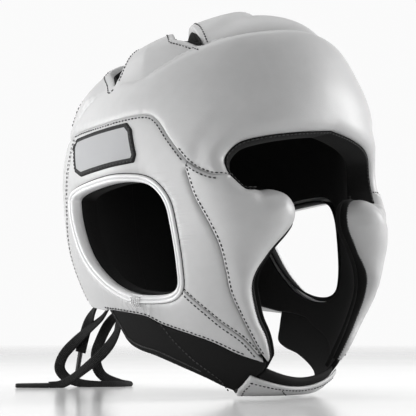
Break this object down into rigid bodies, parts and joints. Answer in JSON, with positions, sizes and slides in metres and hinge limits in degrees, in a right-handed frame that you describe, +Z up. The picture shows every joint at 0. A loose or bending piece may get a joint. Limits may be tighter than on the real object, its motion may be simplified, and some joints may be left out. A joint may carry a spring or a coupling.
{
  "type": "mma headgear",
  "caption": "Padded pale leather head guard with cheek pads, large ear openings, black lining, chin strap and a back lace with hanging ends.",
  "frame": {"origin": "inside of the lining at the crown, where the top of the head rests", "axes": "+Z up along the head, -Y towards the face, -X towards the wearer's right"},
  "size_m": [0.2086, 0.2694, 0.2585],
  "materials": {
    "leather": "smooth satin",
    "white_piping": "smooth gloss",
    "lining_cloth": "matte suede",
    "stretch_cloth": "matte stretch cloth",
    "woven_patch": "woven",
    "lace": "flat braid",
    "lace_tip": "satin"
  },
  "bodies": {
    "root": {"lining": "lining_cloth", "crown_pad": "leather", "brow_binding": "lining_cloth", "ear_panel_right": "leather", "ear_border_right": "white_piping", "cheek_pad_right": "leather", "jaw_panel_right": "leather", "neck_panel_right": "stretch_cloth", "back_pad_right": "leather", "ear_panel_left": "leather", "ear_border_left": "white_piping", "cheek_pad_left": "leather", "jaw_panel_left": "leather", "neck_panel_left": "stretch_cloth", "back_pad_left": "leather", "chin_strap": "stretch_cloth", "chin_tab": "leather", "label_patch": "woven_patch", "lace_bar_1": "lace", "lace_bar_2": "lace", "lace_bar_3": "lace", "lace_bar_4": "lace", "lace_bar_5": "lace", "lace_knot": "lace", "lace_loop": "lace", "lace_end_short": "lace", "lace_end_long": "lace", "lace_tip_short": "lace_tip", "lace_tip_long": "lace_tip"}
  },
  "joints": []
}
